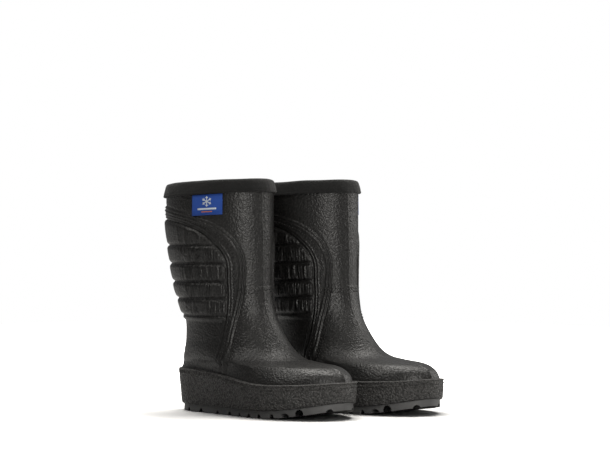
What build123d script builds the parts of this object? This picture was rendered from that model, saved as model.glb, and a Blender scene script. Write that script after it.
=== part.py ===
from build123d import *

import os
from math import cos, pi, radians, sin, sqrt

# A pair of insulated pull-on boots: moulded foam uppers on cupped soles, textile cuffs, linings, loose insoles.
#
# Millimetres. The boots point along -Y and stand on Z = 0. One boot is drawn, the left one, about its own centre
# line and with its outer side at +X. The right boot is its mirror image. "Forward" means towards the toe, along -Y.

# ---- the pair
BOOT_PITCH = 97.0  # between the two centre lines
STAGGER = 20.5  # how far the left boot stands ahead of the right one
BACK_SHIFT = 7.5  # from the middle of the pair's length back to the mean of the two boots' own centres

# ---- sole outline, at the lip and at the ground
LIP_FRONT, LIP_BACK, LIP_HALF_WIDTH = 107.0, -105.0, 48.2
GROUND_FRONT, GROUND_BACK, GROUND_HALF_WIDTH = 105.0, -100.5, 45.4
LIP_HEIGHT = 36.0
SOLE_ROOM = 4.0  # the sole's blank starts this far below the ground
# Half width as a share of the ball's, from heel (0) to toe (1), on the outer and the inner side.
OUTER_SIDE = [(0.0, 0.67), (0.15, 0.68), (0.38, 0.84), (0.66, 1.05), (0.84, 0.975), (1.0, 0.90)]
INNER_SIDE = [(0.0, 0.67), (0.15, 0.67), (0.38, 0.75), (0.66, 0.955), (0.84, 0.905), (1.0, 0.83)]
HEEL_ROUND, TOE_ROUND = 0.19, 0.26  # share of the length taken by each rounded end

# ---- heights along the sole, by forward position
TREAD_THICKNESS, TREAD_INSET = 6.8, 1.2  # the tread stands this far inside the wall above it
SPRING_START, SPRING_RADIUS, SPRING_ARC = 28.0, 330.0, 20.0  # the sole rises from here, on this radius
WELT_LINE = [(-112, 40.2), (-60, 39.5), (-20, 37.0), (5, 34.1), (30, 31.4), (48, 30.7), (80, 31.8), (112, 34.2)]
FOOTBED = [(-112, 19.0), (-45, 18.0), (18, 13.6), (52, 14.2), (85, 18.4), (112, 22.5)]

# ---- tread
# Arched grooves across the tread: (forward, width).
GROOVES = [(-74, 4.2), (-54, 5.5), (-26.5, 4.4), (-6, 5.0), (10.5, 3.4), (25, 5.0), (38.5, 5.5), (53.5, 5.5),
           (67, 8.8)]
GROOVE_DEPTH = 3.8
TOE_GROOVE_ANGLES = [-52, -18, 18, 52]  # fan of grooves round the toe
TOE_GROOVE_CENTRE = 52.0
TOE_GROOVE_WIDTH = 7.5
TOE_GROOVE_START, TOE_GROOVE_START_HEIGHT, TOE_GROOVE_RISE = 20.0, 1.9, 0.095

# ---- upper: height, then how far it reaches forward, back and sideways
UPPER_FRONT = [(18, 104), (26, 104), (32, 103.8), (36, 103), (40, 101), (44, 96), (47, 87.5), (49.5, 63), (52, 46),
               (56, 36), (62, 28), (70, 20), (82, 10.2), (98, 1.5), (118, -2.5), (145, -3), (170, -3.4), (192, -4.2)]
UPPER_BACK = [(18, -102.5), (32, -103.5), (40, -104.3), (48, -102.8), (60, -99.6), (70, -97.6), (82, -96.8),
              (98, -100.2), (118, -108), (145, -113.8), (170, -117.2), (192, -119)]
UPPER_WIDTH = [(18, 46.5), (26, 46.5), (32, 45.8), (38, 44), (44, 41.5), (50, 40), (58, 38.5), (70, 37),
               (84, 36.6), (98, 37.2), (118, 39), (145, 41.5), (170, 44.1), (192, 45.6)]
CAVITY_FRONT = [(8, 92), (26, 91.5), (32, 89), (36, 84), (39.5, 75), (42, 64), (44.5, 50), (47, 40), (51, 30),
                (57, 20), (65, 10.5), (75, 3), (86, -3), (98, -7), (118, -10.5), (145, -11), (170, -11.4),
                (192, -12.2)]
CAVITY_BACK = [(8, -94), (40, -94), (50, -92.5), (60, -90), (70, -88.6), (82, -88.6), (98, -92.4), (118, -100),
               (145, -105.8), (170, -109.2), (192, -111)]
CAVITY_WIDTH = [(8, 37), (26, 37), (32, 36.5), (36, 35), (40, 33.2), (44, 32), (50, 31), (58, 30), (70, 29),
                (84, 28.6), (98, 29.2), (118, 31), (145, 33.5), (170, 36.1), (192, 37.6)]
OVAL_START, OVAL_END = 36.0, 78.0  # heights between which a section turns from foot-shaped to oval
UPPER_HEIGHTS = [18, 26, 32, 36, 39.5, 42.5, 45.5, 48, 50.5, 53.5, 57.5, 63, 71, 82, 96, 114, 132, 152, 172, 192]
CAVITY_HEIGHTS = [24, 29, 33, 36.5, 39.5, 42, 44.5, 47.5, 51.5, 57, 65, 75, 88, 104, 124, 148, 170, 192]
SECTION_POINTS = 36
LEG_TOP = 230.0  # the leg runs straight up from its last section to here, and is then cut back
BLANK_BOTTOM = 8.0  # the cavity runs straight down from its first section to here, and is then cut back
REACH, SIDE_REACH = 80.0, 140.0  # more than half the width and half the length of a boot

# ---- collar: everything at the top follows one sloping plane; heights are at the middle of the leg
COLLAR_SLOPE = 0.053  # rise per millimetre forward
CUFF_BOTTOM, SHELL_TOP, CUFF_TOP = 206.5, 214.6, 219.0
CUFF_FACING_BOTTOM = 197.0  # lower edge of the cuff inside the leg
CUFF_PROUD, CUFF_TOP_INSET = 4.4, 2.2  # outside the leg where the cuff's blank starts, inside it where it ends
CUFF_FACING_THICKNESS = 2.2
CUFF_ROOM = 6.0  # the cuff's blank starts and ends this far past its edges

# ---- calf panel, seen from the side: (forward, height)
BAND_OUTER_EDGE = [(-140, 198.8), (-106, 195.6), (-76, 191), (-50, 185.8), (-29, 178), (-16, 165), (-9.8, 146),
                   (-9.6, 123), (-11, 90), (-12, 60), (-16.5, 24)]
BAND_INNER_EDGE = [(-140, 187.2), (-106, 184.9), (-73, 181.2), (-46, 173.4), (-30, 161), (-21, 145), (-20, 123),
                   (-19, 90), (-21, 60), (-29, 24)]
RIB_FRONT_EDGE = [(-140, 184.6), (-106, 182.3), (-74, 178.6), (-48, 171.2), (-32.4, 159.4), (-24, 144), (-22.8, 123),
                  (-22, 90)]
RIB_SEAMS = [158.7, 141.2, 124.1, 108.2]  # heights of the seams between ribs
RIB_SEAM_WIDTH = 2.6
RIB_PROUD, BAND_PROUD = 2.4, 1.4

# ---- soft parts
LINING_THICKNESS = 1.5
BOARD_THICKNESS = 1.5
INSOLE_THICKNESS, INSOLE_CLEARANCE, INSOLE_SIDE_GAP = 4.0, 0.3, 1.3
LABEL_WIDTH, LABEL_HEIGHT, LABEL_THICKNESS = 31.0, 19.5, 0.7
LABEL_ANGLE = 64.0  # degrees round the leg, from the front towards the outer side
LABEL_GAP = 0.5  # to the leg
LABEL_DROP = 0.9  # below the cuff's edge


def ease(table, at):
    """A smooth curve through a table of (position, value) that doesn't overshoot between its points."""
    if at <= table[0][0]:
        return table[0][1]
    if at >= table[-1][0]:
        return table[-1][1]
    steps = [(v1 - v0) / (p1 - p0) for (p0, v0), (p1, v1) in zip(table, table[1:])]
    slopes = [steps[0]]
    for before, after in zip(steps, steps[1:]):
        slopes.append(0.0 if before * after <= 0 else 2 * before * after / (before + after))
    slopes.append(steps[-1])
    i = max(n for n, (position, _) in enumerate(table[:-1]) if position <= at)
    (p0, v0), (p1, v1) = table[i], table[i + 1]
    span = p1 - p0
    t = (at - p0) / span
    start = v0 * (1 + 2 * t) + slopes[i] * span * t
    end = v1 * (3 - 2 * t) + slopes[i + 1] * span * (t - 1)
    return start * (1 - t) ** 2 + end * t ** 2


def outline(front, back, half_width, oval=0.0):
    """Points of a closed section: foot-shaped at oval 0 and elliptical at oval 1."""
    points = []
    for n in range(SECTION_POINTS):
        angle = 2 * pi * n / SECTION_POINTS
        share = (1 + cos(angle)) / 2
        foot = ease(OUTER_SIDE if sin(angle) >= 0 else INNER_SIDE, share)
        if share < HEEL_ROUND:
            foot *= sqrt(1 - (1 - share / HEEL_ROUND) ** 2)
        if share > 1 - TOE_ROUND:
            foot *= sqrt(1 - (1 - (1 - share) / TOE_ROUND) ** 2)
        width = half_width * ((1 - oval) * foot + oval * abs(sin(angle)))
        points.append((width if sin(angle) >= 0 else -width, -back - (front - back) * share))
    return points


def body_outline(tables, height, grow):
    """The section of the upper or the cavity at this height, grown outwards all round."""
    front, back, half_width = (ease(table, height) for table in tables)
    turned = min(1.0, max(0.0, (height - OVAL_START) / (OVAL_END - OVAL_START)))
    oval = turned * turned * (3 - 2 * turned)
    return outline(front + grow, back - grow, half_width + grow, oval)


def upper_outline(height, grow=0.0):
    return body_outline((UPPER_FRONT, UPPER_BACK, UPPER_WIDTH), height, grow)


def cavity_outline(height, grow=0.0):
    return body_outline((CAVITY_FRONT, CAVITY_BACK, CAVITY_WIDTH), height, grow)


def section(points, height):
    """A face with this closed outline at this height."""
    even_steps = [n / len(points) for n in range(len(points) + 1)]
    with BuildSketch(Plane.XY.offset(height)) as face:
        with BuildLine():
            add(Edge.make_spline(points, periodic=True, parameters=even_steps))
        make_face()
    return face.sketch


def draw_column(points, low, high, mode=Mode.ADD):
    """Makes a straight solid of this outline between two heights."""
    extrude(section(points, low), amount=high - low, mode=mode)


def draw_leg_and_foot(shape, heights, grow=0.0):
    """Lofts through the outlines that shape gives, and carries the last one straight up."""
    loft([section(shape(height, grow), height) for height in heights])
    draw_column(shape(heights[-1], grow), heights[-1], LEG_TOP)


def side_curve(points):
    """A smooth line through (forward, height) points, seen from the side."""
    with BuildLine() as line:
        Spline(*[(-forward, height) for forward, height in points])
    return line.line


def along(table, raised=0.0):
    """The line that a table of heights describes, raised by an amount."""
    return side_curve([(forward, ease(table, forward) + raised) for forward in range(-124, 125, 8)])


def ground(raised=0.0):
    """The sole's ground side, raised by an amount: straight from heel to ball, then an arc up to the toe."""
    with BuildLine() as line:
        heel_to_ball = Line((SIDE_REACH, raised), (-SPRING_START, raised))
        JernArc(heel_to_ball @ 1, heel_to_ball % 1, SPRING_RADIUS, -SPRING_ARC)
    return line.line


def spring(forward):
    """How far the ground side of the sole has risen at this forward position."""
    return SPRING_RADIUS - sqrt(SPRING_RADIUS**2 - max(0.0, forward - SPRING_START) ** 2)


def sloping(height):
    """The collar's sloping line that has this height in the middle of the leg."""
    with BuildLine() as line:
        Line(*[(-forward, height + COLLAR_SLOPE * (forward - LEG_MIDDLE)) for forward in (-SIDE_REACH, SIDE_REACH)])
    return line.line


def keep_between(low, high):
    """Keeps the part of the piece that lies between two lines seen from the side."""
    with BuildSketch(Plane.YZ.offset(-REACH)) as region:
        with BuildLine():
            add(low)
            add(high)
            Line(low @ 0, high @ 0)
            Line(low @ 1, high @ 1)
        make_face()
    extrude(region.sketch, amount=2 * REACH, mode=Mode.INTERSECT)


LEG_FRONT, LEG_BACK, LEG_HALF_WIDTH = UPPER_FRONT[-1][1], UPPER_BACK[-1][1], UPPER_WIDTH[-1][1]
LEG_MIDDLE, LEG_HALF_LENGTH = (LEG_FRONT + LEG_BACK) / 2, (LEG_FRONT - LEG_BACK) / 2

# ---- bodies that the pieces are cut with

with BuildPart() as cavity:
    draw_leg_and_foot(cavity_outline, CAVITY_HEIGHTS)
    draw_column(cavity_outline(CAVITY_HEIGHTS[0]), BLANK_BOTTOM, CAVITY_HEIGHTS[0])
    keep_between(along(FOOTBED), sloping(LEG_TOP - CUFF_ROOM))

with BuildPart() as sock_space:
    draw_leg_and_foot(cavity_outline, CAVITY_HEIGHTS, -LINING_THICKNESS)
    draw_column(cavity_outline(CAVITY_HEIGHTS[0], -LINING_THICKNESS), BLANK_BOTTOM, CAVITY_HEIGHTS[0])
    keep_between(along(FOOTBED, BOARD_THICKNESS + LINING_THICKNESS), sloping(LEG_TOP - CUFF_ROOM))

with BuildPart() as sole_blank:
    ground_section = section(outline(GROUND_FRONT, GROUND_BACK, GROUND_HALF_WIDTH), -SOLE_ROOM)
    lip_section = section(outline(LIP_FRONT, LIP_BACK, LIP_HALF_WIDTH), LIP_HEIGHT)
    loft([ground_section, lip_section], ruled=True)
    draw_column(outline(LIP_FRONT, LIP_BACK, LIP_HALF_WIDTH), LIP_HEIGHT, 2 * LIP_HEIGHT)

# ---- one boot

tread_outline = outline(GROUND_FRONT - TREAD_INSET, GROUND_BACK + TREAD_INSET, GROUND_HALF_WIDTH - TREAD_INSET)

# Tread: a bent slab with grooves right across it, and a fan of grooves round the toe.
with BuildPart() as outsole:
    draw_column(tread_outline, -SOLE_ROOM, LIP_HEIGHT)
    keep_between(ground(), ground(TREAD_THICKNESS))
    with BuildSketch(Plane.YZ.offset(-REACH)):
        for forward, width in GROOVES:
            with Locations((-forward, spring(forward))):
                Ellipse(width / 2, GROOVE_DEPTH)
    extrude(amount=2 * REACH, mode=Mode.SUBTRACT)
    for angle in TOE_GROOVE_ANGLES:
        across = Vector(cos(radians(angle)), sin(radians(angle)), 0)
        outward = Vector(sin(radians(angle)), -cos(radians(angle)), TOE_GROOVE_RISE)
        start = Vector(0, -TOE_GROOVE_CENTRE, TOE_GROOVE_START_HEIGHT) + outward * TOE_GROOVE_START
        with BuildSketch(Plane(origin=start, x_dir=across, z_dir=outward)):
            Circle(TOE_GROOVE_WIDTH / 2)
            with Locations((0, -TOE_GROOVE_WIDTH)):
                Rectangle(TOE_GROOVE_WIDTH, 2 * TOE_GROOVE_WIDTH)
        extrude(amount=REACH, mode=Mode.SUBTRACT)

# Cupped foam midsole, whose top edge is the wavy welt line.
with BuildPart() as sole_wall:
    add(sole_blank.part)
    keep_between(ground(TREAD_THICKNESS), along(WELT_LINE))
    add(cavity.part, mode=Mode.SUBTRACT)

# The calf's padded ribs, one over another, behind the band.
with BuildPart() as ribs:
    draw_leg_and_foot(upper_outline, UPPER_HEIGHTS, RIB_PROUD)
    with BuildSketch(Plane.YZ.offset(-REACH)):
        with BuildLine():
            edge = Spline(*[(-forward, height) for forward, height in RIB_FRONT_EDGE])
            Polyline(edge @ 1, ((edge @ 0).X, (edge @ 1).Y), edge @ 0)
        make_face()
        for height in RIB_SEAMS:
            with Locations((REACH, height)):
                Rectangle(3 * REACH, RIB_SEAM_WIDTH, mode=Mode.SUBTRACT)
    extrude(amount=2 * REACH, mode=Mode.INTERSECT)

# The arched band that frames the calf and runs down to the sole.
with BuildPart() as band:
    draw_leg_and_foot(upper_outline, UPPER_HEIGHTS, BAND_PROUD)
    keep_between(side_curve(BAND_INNER_EDGE), side_curve(BAND_OUTER_EDGE))
    keep_between(along(WELT_LINE), sloping(CUFF_BOTTOM))

# Moulded leg and foot, with the band and the ribs standing proud of it.
with BuildPart() as upper_shell:
    draw_leg_and_foot(upper_outline, UPPER_HEIGHTS)
    keep_between(along(WELT_LINE), sloping(SHELL_TOP))
    add(band.part)
    add(ribs.part)
    add(cavity.part, mode=Mode.SUBTRACT)

# Knitted sock that lines the whole cavity, over the board.
with BuildPart() as lining:
    add(cavity.part)
    keep_between(along(FOOTBED, BOARD_THICKNESS), sloping(SHELL_TOP))
    add(sock_space.part, mode=Mode.SUBTRACT)

# Stiff board under the lining's foot.
with BuildPart() as insole_board:
    add(cavity.part)
    keep_between(along(FOOTBED), along(FOOTBED, BOARD_THICKNESS))

# Loose felt insole, with a little room all round it.
with BuildPart() as insole:
    insole_bottom = BOARD_THICKNESS + LINING_THICKNESS + INSOLE_CLEARANCE
    insole_outline = cavity_outline(CAVITY_HEIGHTS[0], -LINING_THICKNESS - INSOLE_SIDE_GAP)
    draw_column(insole_outline, BLANK_BOTTOM, LIP_HEIGHT)
    keep_between(along(FOOTBED, insole_bottom), along(FOOTBED, insole_bottom + INSOLE_THICKNESS))

# Inside of the sock that the cuff's facing lines, and the end of the leg that the cuff folds over.
with BuildPart() as cuff_facing:
    add(sock_space.part)
    keep_between(sloping(CUFF_FACING_BOTTOM), sloping(SHELL_TOP))

with BuildPart() as leg_end:
    draw_column(upper_outline(LEG_TOP), CUFF_FACING_BOTTOM - CUFF_ROOM, LEG_TOP)
    keep_between(sloping(CUFF_BOTTOM - CUFF_ROOM), sloping(SHELL_TOP))

# Textile band folded over the top of the leg and its lining.
with BuildPart() as cuff:
    cuff_low = section(upper_outline(LEG_TOP, CUFF_PROUD), CUFF_BOTTOM - CUFF_ROOM)
    cuff_high = section(upper_outline(LEG_TOP, -CUFF_TOP_INSET), CUFF_TOP + CUFF_ROOM)
    loft([cuff_low, cuff_high], ruled=True)
    keep_between(sloping(CUFF_BOTTOM), sloping(CUFF_TOP))
    add(leg_end.part, mode=Mode.SUBTRACT)
    add(cuff_facing.part)
    facing_outline = cavity_outline(LEG_TOP, -LINING_THICKNESS - CUFF_FACING_THICKNESS)
    draw_column(facing_outline, CUFF_FACING_BOTTOM - CUFF_ROOM, LEG_TOP, mode=Mode.SUBTRACT)

# Woven label that hangs from the cuff's seam on the outer side.
label_turn = radians(LABEL_ANGLE)
label_forward = LEG_MIDDLE + LEG_HALF_LENGTH * cos(label_turn)
label_side = LEG_HALF_WIDTH * sin(label_turn)
label_top = CUFF_BOTTOM - LABEL_DROP + COLLAR_SLOPE * (label_forward - LEG_MIDDLE)
label_outward = Vector(label_side / LEG_HALF_WIDTH**2, -cos(label_turn) / LEG_HALF_LENGTH, 0).normalized()
label_across = Vector(-label_outward.Y, label_outward.X, -COLLAR_SLOPE * label_outward.X)
label_plane = Plane(origin=(label_side, -label_forward, label_top), x_dir=label_across, z_dir=label_outward)

with BuildPart() as label:
    draw_column(upper_outline(LEG_TOP, LABEL_GAP + LABEL_THICKNESS), 0, LEG_TOP)
    draw_column(upper_outline(LEG_TOP, LABEL_GAP), 0, LEG_TOP, mode=Mode.SUBTRACT)
    with BuildSketch(label_plane):
        with Locations((0, -LABEL_HEIGHT / 2)):
            Rectangle(LABEL_WIDTH, LABEL_HEIGHT)
    extrude(amount=LABEL_WIDTH / 4, both=True, mode=Mode.INTERSECT)

# ---- the pair

boot = {
    "outsole": outsole,
    "sole_wall": sole_wall,
    "upper_shell": upper_shell,
    "lining": lining,
    "insole_board": insole_board,
    "insole": insole,
    "cuff": cuff,
    "label": label,
}
os.makedirs("parts", exist_ok=True)
for name, piece in boot.items():
    left_piece = Location((BOOT_PITCH / 2, -STAGGER / 2 - BACK_SHIFT, 0)) * piece.part
    right_piece = Location((0, STAGGER, 0)) * mirror(left_piece, about=Plane.YZ)
    for side, placed_piece in (("left", left_piece), ("right", right_piece)):
        with BuildPart() as placed:
            add(placed_piece)
        placed.part.label = f"{side}_{name}"
        export_step(placed.part, f"parts/{placed.part.label}.step")
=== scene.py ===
from math import cos, pi, radians, sin, tan

import bpy
import numpy as np
from mathutils import Matrix, Vector, noise


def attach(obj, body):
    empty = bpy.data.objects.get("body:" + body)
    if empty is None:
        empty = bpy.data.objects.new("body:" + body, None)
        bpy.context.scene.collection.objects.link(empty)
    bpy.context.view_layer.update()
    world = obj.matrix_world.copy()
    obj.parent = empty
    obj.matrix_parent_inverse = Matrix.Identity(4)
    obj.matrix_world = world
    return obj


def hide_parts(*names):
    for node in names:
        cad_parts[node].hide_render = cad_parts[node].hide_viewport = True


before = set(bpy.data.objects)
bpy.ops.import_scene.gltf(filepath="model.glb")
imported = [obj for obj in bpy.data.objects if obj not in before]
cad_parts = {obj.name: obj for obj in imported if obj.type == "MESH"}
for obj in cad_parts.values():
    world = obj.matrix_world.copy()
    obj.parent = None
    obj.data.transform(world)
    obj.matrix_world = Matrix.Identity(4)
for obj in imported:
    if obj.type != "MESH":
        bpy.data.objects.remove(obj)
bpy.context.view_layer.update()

# A pair of insulated pull-on boots. Every shape is worked out in millimetres for the left boot, about its
# own centre line, with its outer side at +X and its toe at -Y. place() makes the row frame's metres of it for
# either boot. "Forward" means towards the toe. Angles run round a boot from the toe (0) over the outer side.
# The driving values are the CAD's, except for the upper's width and its turn to an oval low down, how far the
# cuff stands out, and the lowest rib seam. Those follow the photo more closely than the solids do.

MM = 0.001

# ---- the pair
BOOT_PITCH, STAGGER, BACK_SHIFT = 97.0, 20.5, 7.5

# ---- sole
LIP_FRONT, LIP_BACK, LIP_HALF_WIDTH, LIP_HEIGHT = 107.0, -105.0, 48.2, 36.0
GROUND_FRONT, GROUND_BACK, GROUND_HALF_WIDTH, GROUND_HEIGHT = 105.0, -100.5, 45.4, -4.0
# How wide a foot-shaped section is on each side, as a share of its half width, from heel (0) to toe (1).
OUTER_SIDE = [(0.0, 0.67), (0.15, 0.68), (0.38, 0.84), (0.66, 1.05), (0.84, 0.975), (1.0, 0.90)]
INNER_SIDE = [(0.0, 0.67), (0.15, 0.67), (0.38, 0.75), (0.66, 0.955), (0.84, 0.905), (1.0, 0.83)]
HEEL_ROUND, TOE_ROUND = 0.19, 0.26
TREAD_THICKNESS = 6.8
SPRING_START, SPRING_RADIUS = 28.0, 330.0
WELT_LINE = [(-112, 40.2), (-60, 39.5), (-20, 37.0), (5, 34.1), (30, 31.4), (48, 30.7), (80, 31.8),
             (112, 34.2)]
FOOTBED = [(-112, 19.0), (-45, 18.0), (18, 13.6), (52, 14.2), (85, 18.4), (112, 22.5)]
LIP_BAND = 3.9  # height of the stitched band along the lip

# ---- upper and cavity: height, then how far each reaches forward, back and sideways
UPPER_FRONT = [(18, 104), (26, 104), (32, 103.8), (36, 103), (40, 101), (44, 96), (47, 87.5), (49.5, 63),
               (52, 46), (56, 36), (62, 28), (70, 20), (82, 10.2), (98, 1.5), (118, -2.5), (145, -3),
               (170, -3.4), (192, -4.2)]
UPPER_BACK = [(18, -102.5), (32, -103.5), (40, -104.3), (48, -102.8), (60, -99.6), (70, -97.6), (82, -96.8),
              (98, -100.2), (118, -108), (145, -113.8), (170, -117.2), (192, -119)]
UPPER_WIDTH = [(18, 46.5), (26, 45.5), (32, 44.3), (38, 42.8), (44, 41.3), (50, 39.9), (58, 38.4), (70, 37),
               (84, 36.6), (98, 37.2), (118, 39), (145, 41.5), (170, 44.1), (192, 45.6)]
CAVITY_FRONT = [(8, 92), (26, 91.5), (32, 89), (36, 84), (39.5, 75), (42, 64), (44.5, 50), (47, 40), (51, 30),
                (57, 20), (65, 10.5), (75, 3), (86, -3), (98, -7), (118, -10.5), (145, -11), (170, -11.4),
                (192, -12.2)]
CAVITY_BACK = [(8, -94), (40, -94), (50, -92.5), (60, -90), (70, -88.6), (82, -88.6), (98, -92.4),
               (118, -100), (145, -105.8), (170, -109.2), (192, -111)]
CAVITY_WIDTH = [(8, 37), (26, 37), (32, 36.5), (36, 35), (40, 33.2), (44, 32), (50, 31), (58, 30), (70, 29),
                (84, 28.6), (98, 29.2), (118, 31), (145, 33.5), (170, 36.1), (192, 37.6)]
# Front, back and half width, then the heights between which a section turns from foot-shaped to oval.
UPPER = (UPPER_FRONT, UPPER_BACK, UPPER_WIDTH, (31, 64))
CAVITY = (CAVITY_FRONT, CAVITY_BACK, CAVITY_WIDTH, (36, 78))
LEG_TOP = UPPER_FRONT[-1][0]
LEG_FRONT, LEG_BACK, LEG_HALF_WIDTH = UPPER_FRONT[-1][1], UPPER_BACK[-1][1], UPPER_WIDTH[-1][1]
LEG_MIDDLE = (LEG_FRONT + LEG_BACK) / 2
LEG_WALL = 8.0  # thickness of the moulded wall round the leg

# ---- collar
COLLAR_SLOPE = 0.053
CUFF_BOTTOM, SHELL_TOP, CUFF_TOP, CUFF_FACING_BOTTOM = 206.5, 214.6, 219.0, 197.0
CUFF_PROUD, CUFF_WALL = 2.7, 2.2
LINING_THICKNESS, BOARD_THICKNESS = 1.5, 1.5
INSOLE_THICKNESS, INSOLE_CLEARANCE, INSOLE_SIDE_GAP = 4.0, 0.3, 1.3

# ---- calf panel, seen from the side: (forward, height)
BAND_OUTER_EDGE = [(-140, 198.8), (-106, 195.6), (-76, 191), (-50, 185.8), (-29, 178), (-16, 165),
                   (-9.8, 146), (-9.6, 123), (-11, 90), (-12, 60), (-16.5, 24)]
BAND_INNER_EDGE = [(-140, 187.2), (-106, 184.9), (-73, 181.2), (-46, 173.4), (-30, 161), (-21, 145),
                   (-20, 123), (-19, 90), (-21, 60), (-29, 24)]
RIB_SEAMS = [158.7, 141.2, 124.1, 108.2, 92.6]
VAMP_SEAM = 120.0
ARC_ORIGIN = -40.0  # distances round the leg are counted from the line at this forward position
# A rib: half the crease under it, its gap to the band, and the width and height of its padded edge.
RIB_CREASE, RIB_GAP, RIB_EDGE, RIB_RISE = 0.55, 2.0, 3.4, 2.1
RIB_TOP = 184.0  # where the top rib is counted as ending
WRINKLE_PITCH, WRINKLE_LENGTH, WRINKLE_RISE = 2.6, 30.0, 1.15

# ---- label
LABEL_WIDTH, LABEL_HEIGHT, LABEL_THICKNESS = 31.0, 19.5, 0.7
LABEL_ANGLE, LABEL_GAP, LABEL_DROP = 64.0, 0.5, 0.9
LABEL_BEND_RADIUS, LABEL_WAVE = 55.0, 0.35

SIDES = ("right", "left")
FINE = 1.0
# Columns round each surface. The upper's are closer between these degrees from the toe, by this extra share.
UPPER_COLUMNS, SOLE_COLUMNS = int(380 * FINE), int(520 * FINE)
CUFF_COLUMNS, LINING_COLUMNS = int(440 * FINE), int(260 * FINE)
BAND_COLUMNS = (14, 102, 1.4)
ROW_STEP, ROW_PULL = 0.95 / FINE, 0.42


# ================ curves and sections

MEETING_STEPS = 14


def ease(table, at):
    """A smooth curve through a table of (position, value) that doesn't overshoot between its points."""
    positions, values = np.array(table, float).T
    steps = np.diff(values) / np.diff(positions)
    before, after = steps[:-1], steps[1:]
    same_way = before * after > 0
    middle = np.where(same_way, 2 * before * after / np.where(same_way, before + after, 1.0), 0.0)
    slopes = np.concatenate(([steps[0]], middle, [steps[-1]]))
    at = np.clip(at, positions[0], positions[-1])
    i = np.clip(np.searchsorted(positions, at, side="right") - 1, 0, len(steps) - 1)
    span = positions[i + 1] - positions[i]
    t = (at - positions[i]) / span
    start = values[i] * (1 + 2 * t) + slopes[i] * span * t
    end = values[i + 1] * (3 - 2 * t) + slopes[i + 1] * span * (t - 1)
    return start * (1 - t) ** 2 + end * t**2


def smooth(x):
    """0 below 0, 1 above 1, and an even rise between."""
    x = np.clip(x, 0.0, 1.0)
    return x * x * (3 - 2 * x)


def bump(distance, width):
    """A ridge's profile: 1 at distance 0, fading over this width."""
    return np.exp(-((distance / width) ** 2))


def outline(front, back, half_width, oval, angle):
    """(forward, outward) of a closed section: foot-shaped at oval 0 and elliptical at oval 1."""
    share = (1 + np.cos(angle)) / 2
    foot = np.where(np.sin(angle) >= 0, ease(OUTER_SIDE, share), ease(INNER_SIDE, share))
    heel = np.clip(1 - share / HEEL_ROUND, 0, 1)
    toe = np.clip(1 - (1 - share) / TOE_ROUND, 0, 1)
    foot = foot * np.sqrt(1 - heel**2) * np.sqrt(1 - toe**2)
    width = half_width * ((1 - oval) * foot + oval * np.abs(np.sin(angle)))
    return back + (front - back) * share, np.where(np.sin(angle) >= 0, width, -width)


def body(tables, angle, height, grow=0.0):
    """Points (outward, -forward, height) of the upper or the cavity, grown outwards all round."""
    angle, height = np.broadcast_arrays(np.asarray(angle, float), np.asarray(height, float))
    front, back, half_width = (ease(table, height) for table in tables[:3])
    oval_start, oval_end = tables[3]
    oval = smooth((height - oval_start) / (oval_end - oval_start))
    forward, outward = outline(front + grow, back - grow, half_width + grow, oval, angle)
    return np.stack((outward, -forward, height), axis=-1)


def sole(angle, height, grow=0.0):
    """Points of the sole's side at these heights."""
    angle, height = np.broadcast_arrays(np.asarray(angle, float), np.asarray(height, float))
    t = np.clip((height - GROUND_HEIGHT) / (LIP_HEIGHT - GROUND_HEIGHT), 0, 1)
    front = GROUND_FRONT + (LIP_FRONT - GROUND_FRONT) * t + grow
    back = GROUND_BACK + (LIP_BACK - GROUND_BACK) * t - grow
    half_width = GROUND_HALF_WIDTH + (LIP_HALF_WIDTH - GROUND_HALF_WIDTH) * t + grow
    forward, outward = outline(front, back, half_width, 0.0, angle)
    return np.stack((outward, -forward, height), axis=-1)


def spring(forward):
    """How far the ground side of the sole has risen at this forward position."""
    return SPRING_RADIUS - np.sqrt(SPRING_RADIUS**2 - np.clip(forward - SPRING_START, 0, None) ** 2)


def collar(height, forward):
    """The collar's sloping plane that has this height in the middle of the leg."""
    return height + COLLAR_SLOPE * (forward - LEG_MIDDLE)


def where_meets(surface, line, angle):
    """Height at which each column of a surface meets a line of heights by forward position."""
    height = np.full_like(angle, 34.0)
    for _ in range(MEETING_STEPS):
        height = 0.5 * height + 0.5 * line(-surface(angle, height)[..., 1])
    return height


def body_meets(tables, line, angle, grow=0.0):
    """The same for the upper or the cavity, grown outwards all round."""
    return where_meets(lambda turn, height: body(tables, turn, height, grow), line, angle)


def columns(count, dense=()):
    """Angles round a boot, closer by an extra share within ranges (low, high, extra) of degrees."""
    fine = np.linspace(0, 2 * pi, 4001)
    turned = np.degrees(np.minimum(fine, 2 * pi - fine))
    density = np.ones_like(fine)
    for low, high, extra in dense:
        density += extra * smooth((turned - low) / 6 + 0.5) * smooth((high - turned) / 6 + 0.5)
    total = np.concatenate(([0], np.cumsum((density[1:] + density[:-1]) / 2)))
    return np.interp(np.arange(count) / count * total[-1], total, fine)


def even_rows(front_table, low, high, step, pull):
    """Heights from low to high in steps that are even along a profile, whose forward run counts by pull."""
    fine = np.linspace(low, high, 2000)
    run = np.gradient(ease(front_table, fine), fine) * pull
    length = np.concatenate(([0], np.cumsum(np.hypot(1, run[1:]) * np.diff(fine))))
    return np.interp(np.linspace(0, length[-1], max(2, int(length[-1] / step))), length, fine)


def through(points, count):
    """Evenly counted points on a smooth curve through these."""
    p = np.array(points, float)
    p = np.vstack((2 * p[0] - p[1], p, 2 * p[-1] - p[-2]))
    t = np.linspace(0, len(points) - 1 - 1e-9, count)
    i, f = t.astype(int), (t % 1)[:, None]
    a, b, c, d = p[i], p[i + 1], p[i + 2], p[i + 3]
    return 0.5 * (2 * b + (c - a) * f + (2 * a - 5 * b + 4 * c - d) * f**2 + (3 * b - a - 3 * c + d) * f**3)


# ================ meshes

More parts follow.
